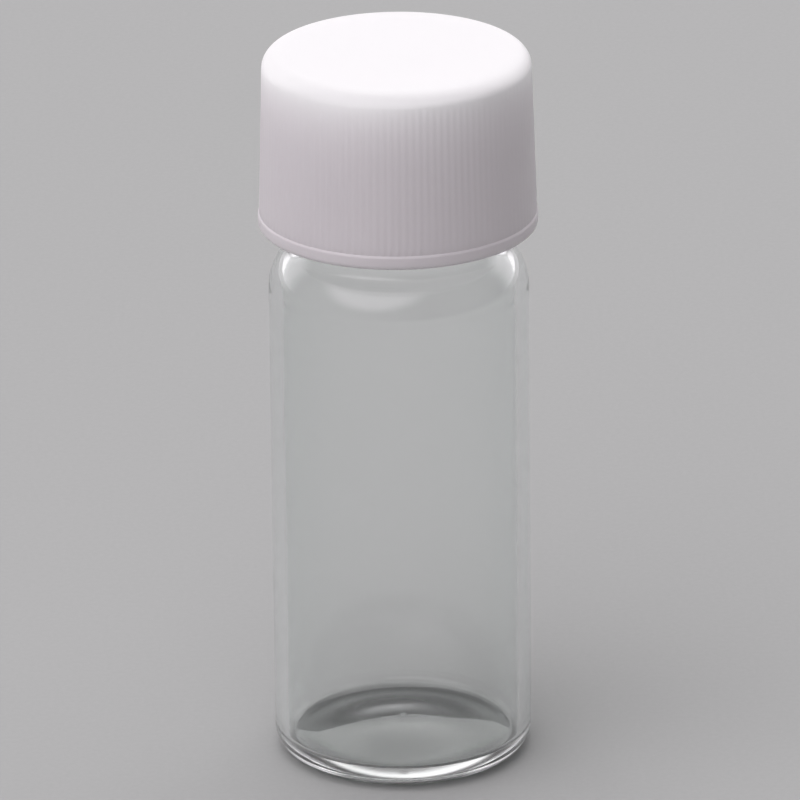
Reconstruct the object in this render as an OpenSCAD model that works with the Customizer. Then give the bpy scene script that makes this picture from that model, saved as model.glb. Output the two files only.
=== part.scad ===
// Glass sample vial with a ribbed screw cap and a sealing liner.
// The vial stands on its base ring at z = 0 and its axis is the Z axis.

/* [Glass body] */
// Outer diameter of the tube
body_d = 18; // [16.4:0.1:30]
// Height of the glass from the base ring to the lip
glass_h = 50; // [42:0.5:90]
// Wall thickness of the tube
wall_t = 0.95; // [0.6:0.05:1.2]
// Thickness of the base at its rim
base_t = 1.4; // [1:0.05:1.6]
// Thickness of the base at its middle
base_mid_t = 1.45; // [1.1:0.05:1.8]
// Outer corner radius of the base
heel_r = 1.8; // [1.2:0.05:2.2]
// Inner corner radius of the base
inner_heel_r = 0.5; // [0.4:0.05:1.2]
// Rise of the hollow under the base
push_up = 0.7; // [0.6:0.05:1.2]
// Width of the flat ring that the vial stands on
foot_ring_w = 1.35; // [0.6:0.05:2]

/* [Shoulder and neck] */
// Radius of the rounded shoulder
shoulder_r = 4; // [2.5:0.1:5]
// Radius of the hollow between shoulder and neck
neck_fillet_r = 1; // [0.5:0.05:1.5]
// Outer diameter of the neck between the thread's turns
neck_d = 14.8; // [12:0.1:15.2]
// Wall thickness of the neck
neck_wall = 1; // [0.85:0.05:1.5]
// Height of the straight neck above the shoulder
neck_h = 12.2; // [9:0.1:18]
// Radius of the lip's two edges
lip_r = 0.4; // [0.1:0.05:0.4]

/* [Thread] */
// Rise of the thread in one turn
thread_pitch = 2.1; // [1.8:0.05:3]
// Height of the glass thread above the neck
thread_depth = 0.65; // [0.4:0.05:0.8]
// Turns of thread on the glass
thread_turns = 2; // [1.25:0.25:2.5]
// Width of the thread's flat crest
thread_crest_w = 0.4; // [0.2:0.05:0.6]
// Width of the thread where it leaves the wall
thread_root_w = 0.9; // [0.7:0.05:1]
// Distance from the lip down to the top end of the glass thread
thread_lead = 1.4; // [1:0.1:2.5]
// Gap between a thread's crest and the wall it faces
thread_gap = 0.25; // [0.15:0.05:0.4]
// Gap between the flanks that touch when the cap is tight
thread_play = 0.1; // [0.05:0.05:0.3]
// Turns of thread inside the cap
cap_thread_turns = 1.5; // [1.25:0.25:2]

/* [Cap] */
// Gap between the foot of the neck and the cap's lower rim
rim_gap = 1; // [0.5:0.1:3]
// Thickness of the cap's top
cap_top_t = 0.75; // [0.6:0.05:1.6]
// Wall of the cap's skirt at its top
cap_wall = 0.92; // [0.7:0.02:1.6]
// Slope of the skirt, in degrees from upright
cap_draft = 1.7; // [0:0.1:2.5]
// Radius of the cap's top edge
cap_edge_r = 1.1; // [0.4:0.05:1.6]
// Height of the flange round the skirt's lower edge
flange_h = 1.1; // [0.6:0.05:1.5]
// How far the flange stands out past the ribs
flange_out = 0.08; // [0.04:0.01:0.3]
// Radius of the flange's two edges
flange_edge_r = 0.16; // [0.05:0.01:0.2]

/* [Cap ribs] */
// Number of grip ribs round the skirt
rib_count = 120; // [60:1:144]
// Height of the ribs above the skirt
rib_depth = 0.06; // [0.03:0.01:0.2]
// Width of a rib at the skirt
rib_w = 0.34; // [0.2:0.01:0.36]

/* [Liner] */
// Thickness of the sealing liner
liner_t = 0.5; // [0.3:0.05:1.5]
// Gap between the liner's edge and the cap's wall
liner_gap = 0.1; // [0.05:0.05:0.3]

/* [Hidden] */
$fn = 96;

// Glass radii and levels
body_r = body_d / 2;
neck_r = neck_d / 2;
bore_r = neck_r - neck_wall;
foot_outer_r = body_r - heel_r;
hollow_r = foot_outer_r - foot_ring_w;
floor_r = body_r - wall_t - inner_heel_r;
floor_rise = push_up + base_mid_t - base_t;
neck_z = glass_h - neck_h;
shoulder_z = neck_z - shoulder_height(body_r, shoulder_r, neck_r, neck_fillet_r);

// Cap radii and levels
cap_bore_r = neck_r + thread_depth + thread_gap;
cap_top_r = cap_bore_r + cap_wall;
cap_roof_z = glass_h + liner_t;
cap_top_z = cap_roof_z + cap_top_t;
cap_rim_z = neck_z + rim_gap;
flange_top_z = cap_rim_z + flange_h;
flange_r = skirt_r(flange_top_z) + rib_depth + flange_out;

// Thread: both ridges have the same flanks, so flank_contact is how far apart they touch
segments_per_turn = 32;
thread_sink = 0.3;
thread_fade_turns = 0.3;
thread_end_share = 0.2;
glass_thread_z = glass_h - thread_lead - thread_turns * thread_pitch;
ridge_overlap = thread_depth + thread_gap + 2 * thread_sink;
flank_contact = thread_root_w
    - (thread_root_w - thread_crest_w) / 2 * ridge_overlap / (thread_depth + thread_sink);
cap_thread_r = neck_r + thread_gap;
cap_thread_z = glass_thread_z - flank_contact - thread_play;

// How far the neck's fillet arc lies outside the shoulder arc's centre, or 0 on a flat shoulder
function fillet_reach(r, sr, nr, fr) = max(0, nr + fr - r + sr);

// Height from the centre of the shoulder's arc to the centre of the neck's fillet arc
function shoulder_height(r, sr, nr, fr) = sqrt(pow(sr + fr, 2) - pow(fillet_reach(r, sr, nr, fr), 2));

// Radius of the bare skirt between the ribs at height z
function skirt_r(z) = cap_top_r - rib_depth + (cap_top_z - z) * tan(cap_draft);

// Radius of a circle whose cap has this half width and rise
function dome_r(half_w, rise) = (half_w * half_w + rise * rise) / (2 * rise);

// Right half of a bottle's outline, from foot_z up to top_z. The shoulder's arc and the
// neck's fillet touch on the line between their centres.
module bottle_outline(r, foot_z, foot_r, sr, nr, fr, top_z) {
    fillet = [nr + fr, shoulder_z + shoulder_height(r, sr, nr, fr)];
    translate([0, foot_z]) square([r - foot_r, shoulder_z - foot_z]);
    translate([0, foot_z + foot_r]) square([r, shoulder_z - foot_z - foot_r]);
    translate([r - foot_r, foot_z + foot_r]) circle(foot_r);
    translate([0, shoulder_z]) {
        square([r - sr, sr]);
        square([nr, top_z - shoulder_z]);
        intersection() {
            translate([r - sr, 0]) circle(sr);
            square([r, sr]);
        }
    }
    difference() {
        polygon([[0, shoulder_z], [fillet[0] - fillet_reach(r, sr, nr, fr), shoulder_z],
                 fillet, [0, fillet[1]]]);
        translate(fillet) circle(fr);
    }
}

// Dome on the axis, half_w wide at base_z and rising by rise above it, kept right of the axis
module dome_section(half_w, base_z, rise) {
    r = dome_r(half_w, rise);
    intersection() {
        translate([0, base_z + rise - r]) circle(r, $fn = 256);
        translate([0, base_z - rise]) square([half_w, 2 * rise]);
    }
}

// Section of the glass wall, base and neck
module glass_section() {
    difference() {
        bottle_outline(body_r, 0, heel_r, shoulder_r, neck_r, neck_fillet_r, glass_h - lip_r);
        bottle_outline(body_r - wall_t, base_t, inner_heel_r, shoulder_r - wall_t,
                       bore_r, neck_fillet_r + neck_wall, glass_h);
        dome_section(hollow_r, 0, push_up);
    }
    translate([0, base_t]) intersection() {
        dome_section(floor_r, 0, floor_rise);
        square([floor_r, floor_rise]);
    }
    translate([bore_r + lip_r, glass_h - lip_r]) circle(lip_r);
    translate([neck_r - lip_r, glass_h - lip_r]) circle(lip_r);
    translate([bore_r + lip_r, glass_h - lip_r]) square([neck_wall - 2 * lip_r, lip_r]);
}

// Right-hand thread ridge that rises one pitch a turn from angle 0 at height start_z.
// base_r is inside the wall that it grows from and crest_r is its free edge.
module thread_ridge(base_r, crest_r, start_z, turns) {
    steps = round(turns * segments_per_turn);
    fade_steps = thread_fade_turns * segments_per_turn;
    side = sign(crest_r - base_r);
    function fade(i) = max(thread_end_share, min(1, i / fade_steps, (steps - i) / fade_steps));
    function ring(i) =
        let (a = 360 * i / segments_per_turn,
             z = start_z + thread_pitch * i / segments_per_turn,
             tip_r = base_r + (crest_r - base_r) * fade(i),
             root = side * thread_root_w / 2,
             crest = root + side * (thread_crest_w - thread_root_w) / 2 * fade(i))
        [for (p = [[base_r, -root], [tip_r, -crest], [tip_r, crest], [base_r, root]])
            [p[0] * cos(a), p[0] * sin(a), z + p[1]]];
    points = [for (i = [0:steps]) each ring(i)];
    sides = [for (i = [0:steps - 1], k = [0:3])
        [4 * i + k, 4 * i + (k + 1) % 4, 4 * i + 4 + (k + 1) % 4, 4 * i + 4 + k]];
    polyhedron(points, concat([[3, 2, 1, 0]], sides, [[for (k = [0:3]) 4 * steps + k]]));
}

// The vial, blown from one tube: base, wall, shoulder, neck and thread
module glass_vial() {
    color([0.86, 0.9, 0.9, 0.4]) {
        rotate_extrude() glass_section();
        thread_ridge(neck_r - thread_sink, neck_r + thread_depth, glass_thread_z, thread_turns);
    }
}

// Right half of the cap's outline, without ribs
module cap_outline() {
    edge = [skirt_r(cap_top_z - cap_edge_r) - cap_edge_r / cos(cap_draft), cap_top_z - cap_edge_r];
    tangent = edge + cap_edge_r * [cos(cap_draft), sin(cap_draft)];
    polygon([[0, cap_rim_z], [skirt_r(cap_rim_z), cap_rim_z], tangent, edge,
             [edge[0], cap_top_z], [0, cap_top_z]]);
    translate(edge) circle(cap_edge_r);
    translate([0, cap_rim_z]) square([flange_r - flange_edge_r, flange_h]);
    translate([0, cap_rim_z + flange_edge_r]) square([flange_r, flange_h - 2 * flange_edge_r]);
    for (z = [cap_rim_z + flange_edge_r, flange_top_z - flange_edge_r])
        translate([flange_r - flange_edge_r, z]) circle(flange_edge_r);
}

// One grip rib: a triangular ridge that leans with the skirt
module rib() {
    rib_top_z = cap_top_z - cap_edge_r;
    foot_z = flange_top_z - flange_edge_r;
    translate([skirt_r(foot_z), 0, foot_z])
        rotate([0, -cap_draft, 0])
            linear_extrude(rib_top_z - foot_z)
                polygon([[-rib_depth, -rib_w], [rib_depth, 0], [-rib_depth, rib_w]]);
}

// The moulded cap: roof, ribbed skirt, flange and inner thread
module screw_cap() {
    color([0.93, 0.92, 0.93]) {
        rotate_extrude() difference() {
            cap_outline();
            translate([0, cap_rim_z]) square([cap_bore_r, cap_roof_z - cap_rim_z]);
        }
        thread_ridge(cap_bore_r + thread_sink, cap_thread_r, cap_thread_z, cap_thread_turns);
        for (i = [0:rib_count - 1]) rotate(360 * i / rib_count) rib();
    }
}

// The liner: a soft disc between the glass lip and the cap's roof
module cap_liner() {
    color([0.9, 0.9, 0.88])
        translate([0, 0, glass_h]) cylinder(r = cap_bore_r - liner_gap, h = liner_t);
}

glass_vial();
screw_cap();
cap_liner();
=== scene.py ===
"""Looks of the glass sample vial: clear glass, a ribbed white cap and its sealing liner.

Sizes are millimetres until a mesh is made, but those of the lamp and the floor are metres. Z is
the vial's axis, and the vial stands on z = 0. Angles round the axis start at +X, and the camera
stands on the -Y side.
"""

import math

import bpy
import numpy as np
from mathutils import Matrix, Vector


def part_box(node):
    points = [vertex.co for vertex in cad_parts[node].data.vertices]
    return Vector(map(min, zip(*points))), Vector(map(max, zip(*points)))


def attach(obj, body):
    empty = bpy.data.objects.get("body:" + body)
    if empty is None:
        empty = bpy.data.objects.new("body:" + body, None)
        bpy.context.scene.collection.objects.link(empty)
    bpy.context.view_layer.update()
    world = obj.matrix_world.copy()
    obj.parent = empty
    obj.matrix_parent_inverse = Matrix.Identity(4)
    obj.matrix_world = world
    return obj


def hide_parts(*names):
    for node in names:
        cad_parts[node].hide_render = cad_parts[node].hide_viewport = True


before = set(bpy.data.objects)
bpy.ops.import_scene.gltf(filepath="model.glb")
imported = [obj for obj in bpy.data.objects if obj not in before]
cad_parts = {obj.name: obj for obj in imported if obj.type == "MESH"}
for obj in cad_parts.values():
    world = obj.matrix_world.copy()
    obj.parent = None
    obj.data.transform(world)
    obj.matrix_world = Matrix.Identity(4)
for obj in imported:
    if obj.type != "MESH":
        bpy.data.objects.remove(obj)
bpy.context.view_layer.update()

MM = 0.001

# ---------------------------------------------------------------- sizes from the CAD nodes


def node_size(node):
    """Outer radius, lowest and highest level of a CAD node, in millimetres."""
    low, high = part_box(node)
    return (high.x - low.x) / 2 / MM, low.z / MM, high.z / MM


BODY_R, _, GLASS_TOP = node_size("glass_vial")
FLANGE_R, CAP_RIM, CAP_TOP = node_size("screw_cap")
LINER_R, LINER_LOW, LINER_HIGH = node_size("cap_liner")

# Glass body, as in the CAD source
WALL = 0.95
BASE_T = 1.4
BASE_MID_T = 1.45
HEEL_R = 1.8
INNER_HEEL_R = 0.5
PUSH_UP = 0.7
SHOULDER_R = 4.0
NECK_FILLET = 1.0
NECK_R = 7.4
NECK_WALL = 1.0
NECK_H = 12.2
LIP_R = 0.4
BORE_R = NECK_R - NECK_WALL
NECK_Z = GLASS_TOP - NECK_H

# Finer form of the base: its narrow level foot, how round its floor is, and the waves in the
# floor. A wave is its change of phase per millimetre along X and Y, its phase and its share.
FOOT_EDGE_W = 0.2
FLOOR_ROUND = 0.8
FLOOR_WAVE_H = 0.03
FLOOR_WAVE_FADE = 1.5
FLOOR_WAVES = ((0.62, 0.35, 0.8, 1.0), (-0.4, 0.85, 2.1, 0.7), (1.3, 0.2, 0.0, 0.4))

# Thread. The last two are a start height and a number of turns, for the glass and for the cap.
PITCH = 2.1
THREAD_DEPTH = 0.65
THREAD_W = 0.9
THREAD_FADE = 0.3
GLASS_THREAD = (44.4, 2.0)
CAP_THREAD = (43.795, 1.5)

# Cap
CAP_BORE = 8.3
CAP_ROOF = LINER_HIGH
CAP_DRAFT = math.radians(1.7)
CAP_EDGE_R = 1.1
CAP_TOP_R = 9.22
FLANGE_H = 1.1
RIBS = 120
RIB_H = 0.014
RIB_HALF_W = 0.22
RIB_END_GAP = 0.35
RIB_END_FADE = 0.9

# Points round each mesh. The skirt has eight for each rib.
GLASS_SIDES = 192
LINER_SIDES = 192
CAP_SIDES = 2 * RIBS
SKIRT_SIDES = 8 * RIBS

# Looks of the glass: clear, faintly green and darkened as painted shade where it turns away, and
# satin on its underside. The last two are the heights between which the satin ends.
CLEAR_TINT = (0.975, 0.983, 0.98)
EDGE_TINT_AND_SHADE = (0.62, 0.70, 0.68)
EDGE_BLEND = 0.12
SATIN_ROUGHNESS = 0.15
SATIN_TOP, CLEAR_FROM = 0.7, 1.6

# Looks of the cap: one white plastic, painted lighter on the top and darker and pinker, as painted
# shade, on the skirt.
# Thin plastic glows near the top edge, and this glow is painted: the skirt's colour pales towards
# the top's there. Its shading is softer than its shape
SHADED_SKIRT_COLOURS = (0.758, 0.716, 0.742), (0.738, 0.696, 0.724)
LIT_TOP_COLOUR = (0.95, 0.94, 0.947)
SOFT_EDGE_SLOPE = 1.2
SOFT_EDGE_FALL = 1.6
PAINTED_GLOW_GAIN = 1.8

# Directions in the sky
LEFT, RIGHT, BACK, UP = (-1, 0, 0), (1, 0, 0), (0, 1, 0), (0, 0, 1)
FRONT_LEFT = (-0.6, -0.8, 0)

# Light goes round in the glass wall many times before it leaves
GLASS_BOUNCES = 200

# Two points closer than this are one
SAME_POINT = 1e-6

# ---------------------------------------------------------------- profiles


def arc(centre, radius, start, end, steps):
    """Points on an arc in the (radius, height) plane, from start to end in degrees."""
    angles = np.radians(np.linspace(start, end, steps + 1))
    return [(centre[0] + radius * math.cos(a), centre[1] + radius * math.sin(a)) for a in angles]


def line(start, end, steps):
    """Evenly spaced points from start to end."""
    return [tuple(p) for p in np.linspace(start, end, steps + 1)]


def wall_line(start, end, steps, support=0.12):
    """A straight run with one extra point close to each end, so that the smooth shading of
    the curves next to it doesn't spread along it."""
    a, b = np.array(start, float), np.array(end, float)
    step = (b - a) / np.linalg.norm(b - a) * support
    return [tuple(a)] + line(a + step, b - step, steps) + [tuple(b)]


def join(*parts):
    """One profile from several, without the points that repeat where two meet."""
    points = []
    for part in parts:
        for p in part:
            if not points or math.dist(points[-1], p) > SAME_POINT:
                points.append((float(p[0]), float(p[1])))
    return points


def dome(radius, base_z, rise, roundness, steps):
    """A hump on the axis, from the axis outwards. Roundness 0 ends level at its edge, and 1
    is as round as a shallow ball there."""
    return [(radius * t, base_z + rise * (roundness * (1 - t * t)
                                          + (1 - roundness) * (1 + math.cos(math.pi * t)) / 2))
            for t in np.linspace(0, 1, steps + 1)]


def shoulder_reach(body_r, shoulder_r, neck_r, fillet_r):
    """How far the centre of the neck's fillet lies outside, and above, that of the shoulder."""
    reach = neck_r + fillet_r - body_r + shoulder_r
    return reach, math.sqrt((shoulder_r + fillet_r) ** 2 - reach ** 2)


def shoulder(body_r, shoulder_r, neck_r, fillet_r, start_z, steps):
    """Shoulder arc and neck fillet, which touch on the line between their centres."""
    reach, rise = shoulder_reach(body_r, shoulder_r, neck_r, fillet_r)
    turn = math.degrees(math.atan2(rise, reach))
    return (arc((body_r - shoulder_r, start_z), shoulder_r, 0, turn, steps)
            + arc((neck_r + fillet_r, start_z + rise), fillet_r, 180 + turn, 180, steps)[1:])


# ---------------------------------------------------------------- lathe meshes


def smooth(share):
    """A soft step from 0 to 1, level at both ends."""
    return share * share * (3 - 2 * share)


class Lathe:
    """Rings of points round the axis, from which one closed mesh is made. The rings start and
    end on the axis, with the solid always on their left, so that every face looks outwards."""

    def __init__(self):
        self.rings = []

    def add(self, profile, count, shape=None):
        """Adds a ring of count points for each profile point. shape(angle, r, z), if given,
        returns the radius and height of each point."""
        theta = 2 * math.pi * np.arange(count) / count
        for r, z in profile:
            if r < SAME_POINT:
                self.rings.append(np.array([[0.0, 0.0, z]]))
                continue
            radius, height = np.full(count, r), np.full(count, z)
            if shape:
                radius, height = shape(theta, radius, height)
            self.rings.append(np.stack([radius * np.cos(theta), radius * np.sin(theta), height], 1))

    def faces(self):
        """Quads between rings of one size, and triangles where the size changes."""
        made, start = [], 0
        for ring, after in zip(self.rings, self.rings[1:]):
            next_start = start + len(ring)
            made += self.band(start, len(ring), next_start, len(after))
            start = next_start
        return made

    @staticmethod
    def band(first, first_count, second, second_count):
        """Faces between two rings, each given as the number of its first point and its count of
        points. The larger count is a whole number of times the smaller one."""
        if first_count == second_count:
            return [(first + j, first + (j + 1) % first_count,
                     second + (j + 1) % first_count, second + j) for j in range(first_count)]
        flip = first_count > second_count
        if flip:
            first, first_count, second, second_count = second, second_count, first, first_count
        made, share = [], second_count // first_count
        middle = share // 2 if first_count > 1 else share
        for j in range(first_count):
            here, there = first + j, first + (j + 1) % first_count
            run = [second + (j * share + i) % second_count for i in range(share + 1)]
            fan = [(here, run[i + 1], run[i]) for i in range(middle)]
            if first_count > 1:
                fan.append((here, there, run[middle]))
                fan += [(there, run[i + 1], run[i]) for i in range(middle, share)]
            made += [tuple(reversed(face)) for face in fan] if flip else fan
        return made

    def build(self, name):
        """One smooth mesh object from the rings, in metres."""
        mesh = bpy.data.meshes.new(name)
        mesh.from_pydata((np.concatenate(self.rings) * MM).tolist(), [], self.faces())
        mesh.validate()
        mesh.shade_smooth()
        piece = bpy.data.objects.new(name, mesh)
        bpy.context.scene.collection.objects.link(piece)
        return piece


def thread_height(theta, z, start_z, turns):
    """Height of a rounded thread above its wall, with ends that fade out over THREAD_FADE turns."""
    height = np.zeros_like(z)
    for wrap in range(math.ceil(turns) + 1):
        turn = theta / (2 * math.pi) + wrap
        fade = np.clip(np.minimum(turn, turns - turn) / THREAD_FADE, 0, 1)
        off = np.clip(np.abs(z - start_z - PITCH * turn) / (THREAD_W / 2), 0, 1)
        ridge = THREAD_DEPTH * smooth(fade) * np.cos(math.pi / 2 * off) ** 2
        height = np.maximum(height, ridge)
    return height


# ---------------------------------------------------------------- node materials


def new_material(name):
    """A material and the Nodes that fill it."""
    material = bpy.data.materials.new(name)
    material.use_nodes = True
    return material, Nodes(material.node_tree)


class Nodes:
    """Short calls for the shader nodes that the materials here need."""

    def __init__(self, tree):
        self.tree = tree
        self.shader = tree.nodes.get("Principled BSDF")

    def add(self, kind, **settings):
        """A new node with these settings."""
        node = self.tree.nodes.new(kind)
        for key, value in settings.items():
            setattr(node, key, value)
        return node

    def link(self, output, node, socket):
        self.tree.links.new(output, node.inputs[socket])

    def place(self, scale):
        """The piece's own coordinates, in millimetres times scale."""
        coords = self.add("ShaderNodeTexCoord")
        mapping = self.add("ShaderNodeMapping")
        mapping.inputs["Scale"].default_value = [s / MM for s in scale]
        self.link(coords.outputs["Object"], mapping, "Vector")
        return mapping.outputs["Vector"]

    def noise(self, per_mm, stretch=(1, 1, 1), detail=2.0):
        """Soft noise with per_mm cells in a millimetre, which mostly lies from 0.3 to 0.7."""
        node = self.add("ShaderNodeTexNoise")
        node.inputs["Scale"].default_value = per_mm
        node.inputs["Detail"].default_value = detail
        self.link(self.place(stretch), node, "Vector")
        return node.outputs["Fac"]

    def spread(self, value, low, high):
        """A value from 0.3 to 0.7, as noise has, brought to the range from low to high."""
        node = self.add("ShaderNodeMapRange")
        node.inputs["From Min"].default_value = 0.3
        node.inputs["From Max"].default_value = 0.7
        node.inputs["To Min"].default_value = low
        node.inputs["To Max"].default_value = high
        self.link(value, node, "Value")
        return node.outputs["Result"]

    def facing(self, blend):
        """0 where the surface faces the view, up to 1 where it turns away."""
        node = self.add("ShaderNodeLayerWeight")
        node.inputs["Blend"].default_value = blend
        return node.outputs["Facing"]

    def two_colours(self, factor, first, second):
        """A mix of two colours or sockets, from the first at 0 to the second at 1."""
        node = self.add("ShaderNodeMix", data_type="RGBA")
        for socket, colour in (("A", first), ("B", second)):
            if isinstance(colour, tuple):
                node.inputs[socket].default_value = (*colour, 1)
            else:
                self.link(colour, node, socket)
        self.link(factor, node, "Factor")
        return node.outputs["Result"]

    def bump(self, height, distance, before=None):
        """A bump of the given height in millimetres, over an earlier one."""
        node = self.add("ShaderNodeBump")
        node.inputs["Distance"].default_value = distance * MM
        self.link(height, node, "Height")
        if before:
            self.link(before, node, "Normal")
        return node.outputs["Normal"]

    def math(self, operation, first, second=0.0):
        """One sum on two values, each a number or a socket."""
        node = self.add("ShaderNodeMath", operation=operation)
        for socket, value in enumerate((first, second)):
            if isinstance(value, (int, float)):
                node.inputs[socket].default_value = value
            else:
                self.link(value, node, socket)
        return node.outputs["Value"]

    def ramp(self, value, low, high, to_low, to_high):
        """A soft step from to_low to to_high while the value goes from low to high."""
        node = self.add("ShaderNodeMapRange", interpolation_type="SMOOTHSTEP")
        node.inputs["From Min"].default_value = low
        node.inputs["From Max"].default_value = high
        for socket, level in (("To Min", to_low), ("To Max", to_high)):
            if isinstance(level, (int, float)):
                node.inputs[socket].default_value = level
            else:
                self.link(level, node, socket)
        self.link(value, node, "Value")
        return node.outputs["Result"]

    def toward(self, direction):
        """How far a direction of the sky points along another one, from -1 to 1."""
        coords = self.add("ShaderNodeTexCoord")
        dot = self.add("ShaderNodeVectorMath", operation="DOT_PRODUCT")
        dot.inputs[1].default_value = Vector(direction).normalized()
        self.link(coords.outputs["Generated"], dot, 0)
        return dot.outputs["Value"]

    def height(self):
        """Height along the axis, in millimetres."""
        split = self.add("ShaderNodeSeparateXYZ")
        self.link(self.place((1, 1, 1)), split, "Vector")
        return split.outputs["Z"]

    def depth_below(self, level, fall):
        """exp(-depth / fall) below a level on the axis, both in millimetres."""
        rise = self.math("SUBTRACT", self.height(), level)
        return self.math("EXPONENT", self.math("DIVIDE", rise, fall))

    def set(self, **values):
        """Sets the shader's own sockets, named with _ for a space."""
        for key, value in values.items():
            self.shader.inputs[key.replace("_", " ")].default_value = value

    def feed(self, **outputs):
        """Links outputs to the shader's sockets, named with _ for a space."""
        for key, output in outputs.items():
            self.link(output, self.shader, key.replace("_", " "))


def glass_material():
    """Clear glass with faint draw lines along the tube."""
    material, n = new_material("drawn_glass")
    draw_lines = n.noise(per_mm=0.9, stretch=(1, 1, 0.03), detail=3)
    polished = n.spread(n.noise(per_mm=0.5), low=0.0, high=0.012)
    n.set(Transmission_Weight=1.0, IOR=1.5)
    # The edge colour is partly the glass's green tint and partly painted shade, darker where the
    # glass turns away
    n.feed(Base_Color=n.two_colours(n.facing(EDGE_BLEND), CLEAR_TINT, EDGE_TINT_AND_SHADE),
           Roughness=n.ramp(n.height(), SATIN_TOP, CLEAR_FROM, SATIN_ROUGHNESS, polished),
           Normal=n.bump(draw_lines, distance=0.0008))
    return material


def cap_material():
    """White plastic with a satin grain and slight clouding, painted lighter on top, with painted
    shade on the skirt and a painted glow below the top edge.
    """
    material, n = new_material("moulded_plastic")
    grain = n.noise(per_mm=7, detail=3)
    cloud = n.noise(per_mm=0.12)
    n.set(IOR=1.49, Subsurface_Weight=0.35, Subsurface_Scale=1.2 * MM,
          Subsurface_Radius=(1.0, 1.0, 1.0))
    # Falls off below the top edge; it shapes the soft bump and the painted glow
    edge_glow = n.depth_below(CAP_TOP, SOFT_EDGE_FALL)
    soft_edge = n.bump(edge_glow, distance=-SOFT_EDGE_SLOPE * SOFT_EDGE_FALL)
    # Skirt colours: darker and pinker than the top as painted shade, clouded at random
    skirt = n.two_colours(n.spread(cloud, low=0, high=1), *SHADED_SKIRT_COLOURS)
    # Painted glow: the colour pales from the skirt's to the top's near the top edge
    painted_glow = n.math("MINIMUM", 1.0, n.math("MULTIPLY", PAINTED_GLOW_GAIN, edge_glow))
    relief = n.bump(cloud, distance=0.015, before=soft_edge)
    n.feed(Base_Color=n.two_colours(painted_glow, skirt, LIT_TOP_COLOUR),
           Roughness=n.spread(grain, low=0.38, high=0.5),
           Normal=n.bump(grain, distance=0.003, before=relief))
    return material


def liner_material():
    """Closed-cell foam: about six rounded cells to a millimetre, slightly clouded."""
    material, n = new_material("white_foam")
    foam = n.add("ShaderNodeTexVoronoi", feature="SMOOTH_F1")
    foam.inputs["Scale"].default_value = 6
    n.link(n.place((1, 1, 1)), foam, "Vector")
    cells = foam.outputs["Distance"]
    cloud = n.spread(n.noise(per_mm=0.4), low=0, high=1)
    n.set(IOR=1.45, Subsurface_Weight=0.3, Subsurface_Scale=0.5 * MM)
    n.feed(Base_Color=n.two_colours(cloud, (0.89, 0.89, 0.86), (0.87, 0.87, 0.84)),
           Roughness=n.spread(cells, low=0.62, high=0.8),
           Normal=n.bump(cells, distance=0.02))
    return material


def floor_material():
    """Matte pale grey paper with a fine grain."""
    material, n = new_material("floor_paper")
    grain = n.noise(per_mm=2.5, detail=4)
    fibres = n.spread(grain, low=0, high=1)
    n.set(Specular_IOR_Level=0.15)
    n.feed(Base_Color=n.two_colours(fibres, (0.415, 0.42, 0.415), (0.405, 0.41, 0.405)),
           Roughness=n.spread(grain, low=0.8, high=0.95),
           Normal=n.bump(grain, distance=0.004))
    return material


# ---------------------------------------------------------------- the three pieces


def uneven(theta, radius, height):
    """Lets the floor inside rise and fall a little, fading out towards the wall."""
    x, y = radius * np.cos(theta), radius * np.sin(theta)
    wave = sum(share * np.sin(along_x * x + along_y * y + phase)
               for along_x, along_y, phase, share in FLOOR_WAVES)
    fade = np.clip((BODY_R - WALL - INNER_HEEL_R - radius) / FLOOR_WAVE_FADE, 0, 1)
    return radius, height + FLOOR_WAVE_H * wave * smooth(fade)


def make_glass():
    """The vial: one closed wall, from the hollow under the base to the floor inside."""
    shoulder_z = NECK_Z - shoulder_reach(BODY_R, SHOULDER_R, NECK_R, NECK_FILLET)[1]
    foot_r = BODY_R - HEEL_R
    inner_r = BODY_R - WALL
    lip_z = GLASS_TOP - LIP_R
    outside = join(
        dome(foot_r - FOOT_EDGE_W, 0, PUSH_UP, roundness=0, steps=48),
        line((foot_r - FOOT_EDGE_W, 0), (foot_r, 0), steps=2),
        arc((foot_r, HEEL_R), HEEL_R, -90, 0, steps=32),
        wall_line((BODY_R, HEEL_R), (BODY_R, shoulder_z), steps=6),
        shoulder(BODY_R, SHOULDER_R, NECK_R, NECK_FILLET, shoulder_z, steps=20))
    neck = line((NECK_R, NECK_Z), (NECK_R, lip_z), steps=118)
    inside_shoulder = shoulder(inner_r, SHOULDER_R - WALL, BORE_R, NECK_FILLET + NECK_WALL,
                               shoulder_z, steps=20)
    floor_r = inner_r - INNER_HEEL_R
    floor_rise = PUSH_UP + BASE_MID_T - BASE_T
    inside = join(
        arc((NECK_R - LIP_R, lip_z), LIP_R, 0, 90, steps=8),
        arc((BORE_R + LIP_R, lip_z), LIP_R, 90, 180, steps=8),
        wall_line((BORE_R, lip_z), inside_shoulder[-1], steps=4),
        inside_shoulder[::-1],
        wall_line((inner_r, shoulder_z), (inner_r, BASE_T + INNER_HEEL_R), steps=6),
        arc((floor_r, BASE_T + INNER_HEEL_R), INNER_HEEL_R, 0, -90, steps=28),
        dome(floor_r, BASE_T, floor_rise, FLOOR_ROUND, steps=48)[::-1])
    lathe = Lathe()
    lathe.add(outside, GLASS_SIDES)
    lathe.add(neck[1:], GLASS_SIDES, lambda t, r, z: (r + thread_height(t, z, *GLASS_THREAD), z))
    lathe.add(inside[1:], GLASS_SIDES, uneven)
    return lathe.build("vial_glass")


def skirt_r(z):
    """Radius of the cap's skirt between the ribs."""
    return CAP_TOP_R - RIB_H + (CAP_TOP - z) * math.tan(CAP_DRAFT)


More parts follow.
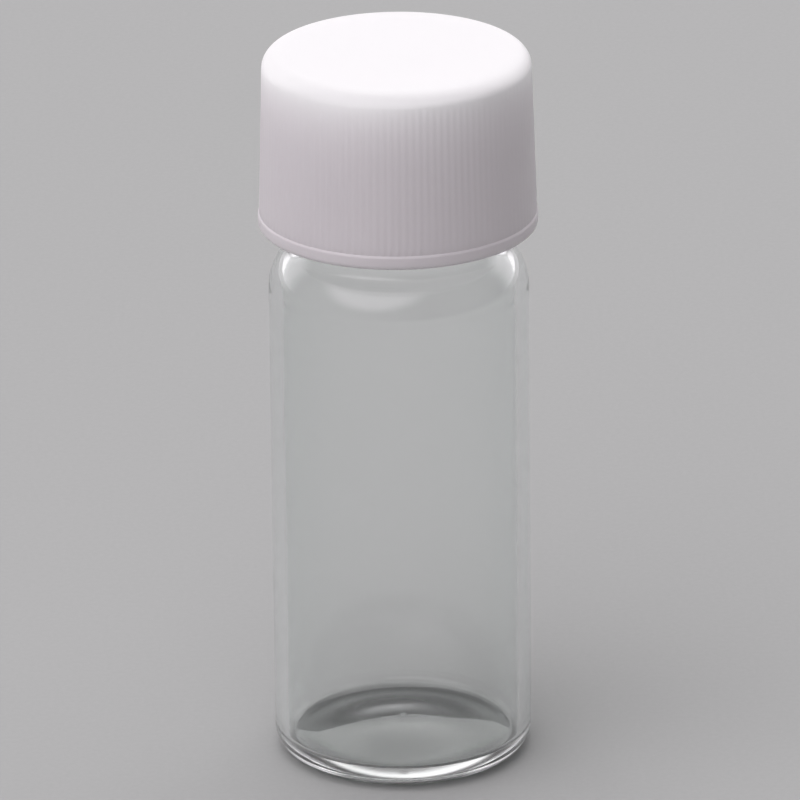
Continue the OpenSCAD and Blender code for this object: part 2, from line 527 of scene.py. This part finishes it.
def ribbed(theta, radius, height):
    """Adds the grip ribs, which fade out on the rounded top edge."""
    pitch = 2 * math.pi / RIBS
    off = np.abs((theta + pitch / 2) % pitch - pitch / 2) * radius
    ridge = np.cos(math.pi / 2 * np.clip(off / RIB_HALF_W, 0, 1)) ** 2
    run_out = np.clip((CAP_TOP - RIB_END_GAP - height) / RIB_END_FADE, 0, 1)
    return radius + RIB_H * ridge * run_out, height


def make_cap():
    """The cap: roof, threaded bore, flange bead, ribbed skirt and rounded top edge."""
    ledge_z = CAP_RIM + FLANGE_H
    bore_fillet = 0.3
    rim_edge = 0.15
    bead_low_r, bead_high_r = 0.32, 0.3
    bead_gap = 0.03
    inside = join(
        line((0, CAP_ROOF), (CAP_BORE - bore_fillet, CAP_ROOF), steps=12),
        arc((CAP_BORE - bore_fillet, CAP_ROOF - bore_fillet), bore_fillet, 90, 0, steps=6))
    bore = line((CAP_BORE, CAP_ROOF - bore_fillet), (CAP_BORE, CAP_RIM + rim_edge), steps=114)
    rim = join(
        arc((CAP_BORE + rim_edge, CAP_RIM + rim_edge), rim_edge, 180, 270, steps=5),
        line((CAP_BORE + rim_edge, CAP_RIM), (FLANGE_R - bead_low_r, CAP_RIM), steps=2))
    bead_turn = math.acos((skirt_r(ledge_z) - FLANGE_R + bead_high_r) / bead_high_r)
    bead_top = ledge_z - bead_high_r * (1 - math.sin(bead_turn))
    flange = join(
        arc((FLANGE_R - bead_low_r, CAP_RIM + bead_low_r), bead_low_r, -90, 0, steps=8),
        arc((FLANGE_R - bead_high_r, ledge_z - bead_high_r), bead_high_r,
            0, math.degrees(bead_turn), steps=7))
    skirt_z = bead_top + bead_gap
    edge_z = CAP_TOP - CAP_EDGE_R
    edge_r = skirt_r(edge_z) - CAP_EDGE_R / math.cos(CAP_DRAFT)
    edge = arc((edge_r, edge_z), CAP_EDGE_R, math.degrees(CAP_DRAFT), 90, steps=18)
    skirt = join(line((skirt_r(skirt_z), skirt_z), edge[0], steps=16), edge)
    crown = line((edge_r, CAP_TOP), (0, CAP_TOP), steps=12)
    lathe = Lathe()
    lathe.add(inside, CAP_SIDES)
    lathe.add(bore[1:], CAP_SIDES, lambda t, r, z: (r - thread_height(t, z, *CAP_THREAD), z))
    lathe.add(rim[1:], CAP_SIDES)
    lathe.add(flange[1:], SKIRT_SIDES)
    lathe.add(skirt, SKIRT_SIDES, ribbed)
    lathe.add(crown[1:], CAP_SIDES)
    return lathe.build("cap_shell")


def make_liner():
    """The liner: a foam disc with soft edges."""
    bevel = 0.08
    flat_r = LINER_R - bevel
    profile = join(
        line((0, LINER_LOW), (flat_r, LINER_LOW), steps=16),
        arc((flat_r, LINER_LOW + bevel), bevel, -90, 0, steps=5),
        arc((flat_r, LINER_HIGH - bevel), bevel, 0, 90, steps=5),
        line((flat_r, LINER_HIGH), (0, LINER_HIGH), steps=16))
    lathe = Lathe()
    lathe.add(profile, LINER_SIDES)
    return lathe.build("cap_seal")


# ---------------------------------------------------------------- camera, light and floor


def add_camera():
    """A long lens that looks down on the vial a little, and is rolled slightly."""
    elevation, distance, aim_z, roll = math.radians(21.2), 648, 25.7, math.radians(-0.6)
    data = bpy.data.cameras.new("camera")
    data.sensor_width = 36
    data.lens = 421
    data.clip_start, data.clip_end = 0.05, 50
    camera = bpy.data.objects.new("camera", data)
    back = Vector((0, -math.cos(elevation), math.sin(elevation)))
    camera.matrix_world = (
        Matrix.Translation((Vector((0, 0, aim_z)) + back * distance) * MM)
        @ (-back).to_track_quat("-Z", "Y").to_matrix().to_4x4()
        @ Matrix.Rotation(roll, 4, "Z"))
    bpy.context.scene.collection.objects.link(camera)
    bpy.context.scene.camera = camera


def add_softbox(name, place, size, radiance):
    """A rectangular lamp that faces the vial, in metres. Radiance 1 is as bright as white paper."""
    data = bpy.data.lights.new(name, "AREA")
    data.shape = "RECTANGLE"
    data.size, data.size_y = size
    data.energy = radiance * math.pi * size[0] * size[1]
    lamp = bpy.data.objects.new(name, data)
    lamp.location = place
    lamp.rotation_mode = "QUATERNION"
    lamp.rotation_quaternion = (-Vector(place)).to_track_quat("-Z", "Y")
    bpy.context.scene.collection.objects.link(lamp)


def add_world():
    """A soft room, as light levels over the sky. Each step runs from one cosine of the angle to
    its direction to another, and from one level to another."""
    world = bpy.data.worlds.new("studio")
    world.use_nodes = True
    n = Nodes(world.node_tree)

    # The room: light from the left in front, and nearly dark behind
    front = n.ramp(n.toward(LEFT), -0.6, 1.0, to_low=0.0, to_high=0.42)
    back = n.ramp(n.toward(BACK), 0.6, 0.95, to_low=0.12, to_high=0.1)
    room = n.ramp(n.toward(FRONT_LEFT), -0.3, 0.5, to_low=back, to_high=front)

    # Two bright panels low down behind the vial, one on each side, which the shoulder and the
    # rim of the base pick up
    aside = n.ramp(n.math("ABSOLUTE", n.toward(RIGHT)), 0.3, 0.5, to_low=0.0, to_high=1.05)
    behind = n.ramp(n.toward(BACK), 0.3, 0.6, to_low=0.0, to_high=aside)
    panels = n.ramp(n.toward(UP), 0.45, 0.7, to_low=behind, to_high=0.0)

    # Two soft round lamps, from the front left and from above
    key = n.ramp(n.toward((-0.5, -0.72, 1.25)), 0.707, 0.927, to_low=0.0, to_high=1.45)
    top = n.ramp(n.toward((0, 0.1, 1.35)), 0.766, 0.94, to_low=0.0, to_high=1.25)

    level = n.math("ADD", n.math("ADD", room, panels), n.math("ADD", key, top))
    background = n.tree.nodes["Background"]
    n.link(level, background, "Strength")
    background.inputs["Color"].default_value = (1.0, 0.97, 1.0, 1)
    bpy.context.scene.world = world


def add_floor():
    """A square of paper, six metres wide and a hair below the vial."""
    half = 3.0
    drop = 0.02 * MM
    corners = [(x * half, y * half, -drop) for x, y in ((-1, -1), (1, -1), (1, 1), (-1, 1))]
    mesh = bpy.data.meshes.new("floor")
    mesh.from_pydata(corners, [], [(0, 1, 2, 3)])
    floor = bpy.data.objects.new("floor", mesh)
    bpy.context.scene.collection.objects.link(floor)
    floor.data.materials.append(floor_material())


# ---------------------------------------------------------------- the scene

glass = make_glass()
glass.data.materials.append(glass_material())
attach(glass, "vial")
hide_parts("glass_vial")

cap = make_cap()
cap.data.materials.append(cap_material())
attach(cap, "cap")
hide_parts("screw_cap")

liner = make_liner()
liner.data.materials.append(liner_material())
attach(liner, "liner")
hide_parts("cap_liner")

add_floor()
add_world()
add_softbox("back", place=(0, 1.5, 1.17), size=(2.5, 1.0), radiance=1.4)
add_camera()

scene = bpy.context.scene
scene.view_settings.view_transform = "Standard"
scene.cycles.max_bounces = GLASS_BOUNCES
scene.cycles.glossy_bounces = GLASS_BOUNCES
scene.cycles.transmission_bounces = GLASS_BOUNCES
